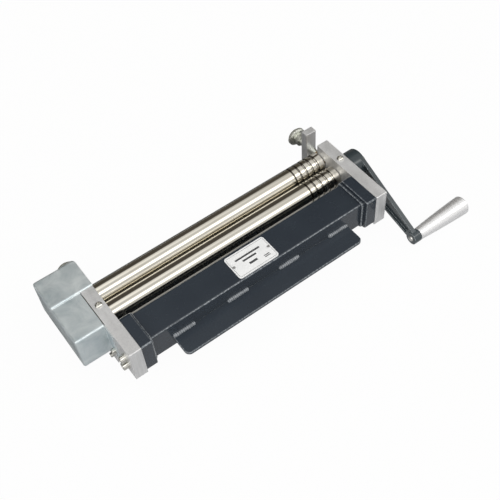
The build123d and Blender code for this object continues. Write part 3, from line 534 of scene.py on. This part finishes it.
screw_radius = 4.0 * MM
thread_pitch = 1.25 * MM
thread_depth = 0.42 * MM
thread_sink = 0.15  # share of the thread's depth that lies inside the screw
thread_turn_points = 48
thread_pitch_rows = 8
thread_fade_rows = 4  # the thread runs out over these rows at both ends
thread_gap = 0.3 * MM  # between the thread and the plate
knob_neck = 72.8 * MM  # Y where the knob's neck starts
screw_head = 5.5 * MM  # length of the forming screw's head
foot_front = -20 * MM  # Y of the front of the end plate's foot


def thread(name, body, slot, x, z, radius, start, end):
    """Sleeve with a screw thread over the open part of a screw that runs along Y."""
    rows = []
    count = round((end - start) / thread_pitch * thread_pitch_rows)
    for step in range(count + 1):
        y = start + (end - start) * step / count
        fade = min(1.0, step / thread_fade_rows, (count - step) / thread_fade_rows)
        row = []
        for index in range(thread_turn_points):
            turn = 2 * math.pi * index / thread_turn_points
            phase = (y / thread_pitch - index / thread_turn_points) % 1.0
            crest = 1 - abs(2 * phase - 1)
            reach = radius + fade * thread_depth * (crest - thread_sink)
            row.append(Vector((x + reach * math.cos(turn), y, z + reach * math.sin(turn))))
        rows.append(row)
    mesh = bmesh.new()
    skin(mesh, rows, False)
    return new_piece(name, mesh, finishes[slot], body)


for word in ("left", "right"):
    plate_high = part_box("end_plate_" + word)[1]
    knob_low, knob_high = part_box("adjusting_knob_" + word)
    middle = (knob_low + knob_high) / 2
    thread(
        "knob_thread_" + word, "knob_" + word, "knob_nickel", middle.x, middle.z, screw_radius,
        plate_high.y + thread_gap, knob_neck,
    )
    screw_low, screw_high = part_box("forming_screw_" + word)
    middle = (screw_low + screw_high) / 2
    thread(
        "forming_thread_" + word, "forming_screw_" + word, "screw", middle.x, middle.z, screw_radius,
        screw_low.y + screw_head, foot_front - thread_gap,
    )

# Plain ruled lines stand where a data plate has its print.
print_rise = 0.04 * MM
plate_low, plate_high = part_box("label_plate")
print_marks = [
    # middle x, middle y, half length, half width, in mm from the middle of the plate
    (0.0, 13.6, 23.0, 0.16),
    (0.0, -13.6, 23.0, 0.16),
    (-23.6, 0.0, 0.16, 13.0),
    (23.6, 0.0, 0.16, 13.0),
    (-1.0, 6.2, 15.5, 1.1),
    (-1.5, 1.4, 8.5, 1.1),
    (-1.0, -5.2, 5.0, 1.35),
    (15.0, -6.6, 3.4, 0.5),
    (15.0, -8.6, 3.4, 0.5),
]
print_mesh = bmesh.new()
plate_middle = (plate_low + plate_high) / 2
for x, y, half_length, half_width in print_marks:
    made = bmesh.ops.create_cube(print_mesh, size=2.0)
    size = Matrix.Diagonal((half_length * MM, half_width * MM, print_rise / 2, 1))
    spot = Vector((plate_middle.x + x * MM, plate_middle.y + y * MM, plate_high.z + print_rise / 2))
    bmesh.ops.transform(print_mesh, matrix=Matrix.Translation(spot) @ size, verts=made["verts"])
new_piece("label_print", print_mesh, ink, "base", smooth=False)

# ---------------------------------------------------------------- stage, lamps, camera

floor_half = 4.0
floor_drop = 0.1 * MM
floor_grey = 0.72  # what takes the object's shadow
ray_share = 0.96  # how much of the floor's white comes from its colour alone

# What the metal mirrors of the floor: spans along Y or X in metres, and the floor's level in them.
back_start = (-0.05, 0.03)  # over this Y it turns from the lit front to the shaded back
front_level = 0.48
back_level = 0.09
back_end = (0.7, 2.4)  # and over this Y it is white again
left_start = (-0.30, -0.19)  # over this X, left of the gear cover, it is lit too
left_level = 0.55


def stage_floor():
    """White floor that keeps a soft shadow; metal mirrors it white far off and shaded behind the rolls."""
    mesh = bmesh.new()
    bmesh.ops.create_grid(mesh, x_segments=1, y_segments=1, size=floor_half)
    data = bpy.data.meshes.new("floor")
    mesh.to_mesh(data)
    mesh.free()
    floor = bpy.data.objects.new("floor", data)
    floor.location.z = -floor_drop
    bpy.context.scene.collection.objects.link(floor)
    material = bpy.data.materials.new("floor")
    material.use_nodes = True
    tree = material.node_tree
    tree.nodes.clear()

    def step(operation, first, second):
        node = tree.nodes.new("ShaderNodeMath")
        node.operation = operation
        for value, socket in ((first, node.inputs[0]), (second, node.inputs[1])):
            if isinstance(value, float):
                socket.default_value = value
            else:
                tree.links.new(value, socket)
        return node.outputs[0]

    path = tree.nodes.new("ShaderNodeLightPath")
    place = tree.nodes.new("ShaderNodeTexCoord")
    split = tree.nodes.new("ShaderNodeSeparateXYZ")
    tree.links.new(place.outputs["Object"], split.inputs[0])

    def ramp(axis, span, low, high):
        node = tree.nodes.new("ShaderNodeMapRange")
        for socket, value in zip(("From Min", "From Max", "To Min", "To Max"), (*span, low, high)):
            node.inputs[socket].default_value = value
        tree.links.new(split.outputs[axis], node.inputs["Value"])
        return node.outputs["Result"]

    near = ramp("Y", back_start, front_level, back_level)
    left = ramp("X", left_start, left_level, 0.0)
    shaded = step("MAXIMUM", step("MAXIMUM", near, left), ramp("Y", back_end, 0.0, 1.0))
    mirrored = step("MAXIMUM", path.outputs["Is Glossy Ray"], path.outputs["Is Transmission Ray"])
    level = step("MAXIMUM", path.outputs["Is Camera Ray"], step("MULTIPLY", mirrored, shaded))
    share = step("MULTIPLY", step("MAXIMUM", path.outputs["Is Camera Ray"], mirrored), ray_share)
    matt = tree.nodes.new("ShaderNodeBsdfDiffuse")
    matt.inputs["Color"].default_value = (floor_grey, floor_grey, floor_grey, 1)
    white = tree.nodes.new("ShaderNodeEmission")
    tree.links.new(level, white.inputs["Strength"])
    mix = tree.nodes.new("ShaderNodeMixShader")
    tree.links.new(share, mix.inputs[0])
    tree.links.new(matt.outputs[0], mix.inputs[1])
    tree.links.new(white.outputs[0], mix.inputs[2])
    output = tree.nodes.new("ShaderNodeOutputMaterial")
    tree.links.new(mix.outputs[0], output.inputs["Surface"])
    data.materials.append(material)


stage_floor()

# Light from the studio, by its angle round the rolls' axis: 0 is overhead, minus is the camera's side.
# Each row is the angle in degrees, and the light's level there as seen towards the left and the right.
studio_levels = [
    (-100, 0.60, 0.60), (-80, 0.90, 0.80), (-67, 1.05, 0.80), (-57, 0.50, 0.62), (-48, 0.66, 1.05),
    (-41, 1.15, 1.80), (-37, 3.30, 3.60), (-29, 3.40, 3.60), (-25, 1.50, 1.70), (-17, 0.80, 1.05),
    (-7, 0.54, 0.74), (3, 0.90, 0.70), (13, 1.42, 0.66), (22, 1.10, 0.46), (31, 0.44, 0.21),
    (40, 0.13, 0.10), (52, 0.075, 0.08), (75, 0.08, 0.085), (88, 0.12, 0.12), (180, 0.10, 0.10),
]
studio_peak = 4.0  # the ramps hold shares of this
side_reach = (0.12, 0.50)  # X of the direction, for the left and the right
warm_tone = (1.0, 0.90, 0.76)  # of the dim parts
warm_below = 0.25
white_tone = (1.0, 0.99, 0.965)


def studio():
    """World light from the two ramps; the camera itself sees plain white."""
    world = bpy.data.worlds.new("studio")
    bpy.context.scene.world = world
    world.use_nodes = True
    tree = world.node_tree
    tree.nodes.clear()
    place = tree.nodes.new("ShaderNodeTexCoord")
    split = tree.nodes.new("ShaderNodeSeparateXYZ")
    tree.links.new(place.outputs["Generated"], split.inputs[0])
    angle = tree.nodes.new("ShaderNodeMath")
    angle.operation = "ARCTAN2"
    tree.links.new(split.outputs["Y"], angle.inputs[0])
    tree.links.new(split.outputs["Z"], angle.inputs[1])
    along = tree.nodes.new("ShaderNodeMapRange")
    along.inputs["From Min"].default_value = -math.pi
    along.inputs["From Max"].default_value = math.pi
    tree.links.new(angle.outputs[0], along.inputs["Value"])
    blend = tree.nodes.new("ShaderNodeMix")
    blend.data_type = "RGBA"
    across = tree.nodes.new("ShaderNodeMapRange")
    across.inputs["From Min"].default_value = side_reach[0]
    across.inputs["From Max"].default_value = side_reach[1]
    tree.links.new(split.outputs["X"], across.inputs["Value"])
    tree.links.new(across.outputs[0], blend.inputs["Factor"])
    for side in (1, 2):
        ramp = tree.nodes.new("ShaderNodeValToRGB")
        elements = ramp.color_ramp.elements
        elements.remove(elements[-1])
        for index, row in enumerate(studio_levels):
            spot = (row[0] + 180) / 360
            element = elements[0] if index == 0 else elements.new(spot)
            element.position = spot
            level = row[side]
            tone = warm_tone if level < warm_below else white_tone
            element.color = (*(level / studio_peak * part for part in tone), 1)
        tree.links.new(along.outputs[0], ramp.inputs[0])
        tree.links.new(ramp.outputs[0], blend.inputs[5 + side])
    light = tree.nodes.new("ShaderNodeBackground")
    tree.links.new(blend.outputs[2], light.inputs["Color"])
    light.inputs["Strength"].default_value = studio_peak
    plain = tree.nodes.new("ShaderNodeBackground")
    plain.inputs["Color"].default_value = (1, 1, 1, 1)
    plain.inputs["Strength"].default_value = 1.0
    path = tree.nodes.new("ShaderNodeLightPath")
    mix = tree.nodes.new("ShaderNodeMixShader")
    tree.links.new(path.outputs["Is Camera Ray"], mix.inputs[0])
    tree.links.new(light.outputs[0], mix.inputs[1])
    tree.links.new(plain.outputs[0], mix.inputs[2])
    output = tree.nodes.new("ShaderNodeOutputWorld")
    tree.links.new(mix.outputs[0], output.inputs["Surface"])


studio()


def soft_lamp(name, spot, aim, size, power):
    lamp = bpy.data.lights.new(name, "AREA")
    lamp.shape = "RECTANGLE"
    lamp.size, lamp.size_y = size
    lamp.energy = power
    holder = bpy.data.objects.new(name, lamp)
    holder.location = spot
    holder.rotation_euler = (Vector(aim) - Vector(spot)).to_track_quat("-Z", "Y").to_euler()
    holder.visible_glossy = False  # metal mirrors the studio only
    bpy.context.scene.collection.objects.link(holder)


soft_lamp("key", (-0.7, -0.9, 1.6), (0, 0, 0.03), (0.9, 0.9), 5.0)

camera_spot = Vector((-273.883, -472.018, 755.262)) * MM
camera_view = Vector((0.32262727, 0.51110478, -0.79667029))
camera_right = Vector((0.80281466, -0.59361917, -0.05572154))
camera_up = Vector((0.5013983, 0.6216013, 0.60184015))
focal_pixels = 825.435
image_pixels = 500
lens_sensor = 36.0


def photo_camera():
    """The camera that was fitted to the photograph."""
    data = bpy.data.cameras.new("camera")
    data.sensor_width = lens_sensor
    data.lens = focal_pixels / image_pixels * lens_sensor
    data.clip_start = 0.01
    data.clip_end = 20
    camera = bpy.data.objects.new("camera", data)
    turn = Matrix((camera_right, camera_up, -camera_view)).transposed().to_4x4()
    camera.matrix_world = Matrix.Translation(camera_spot) @ turn
    bpy.context.scene.collection.objects.link(camera)
    bpy.context.scene.camera = camera


photo_camera()
bpy.context.scene.view_settings.view_transform = "Standard"
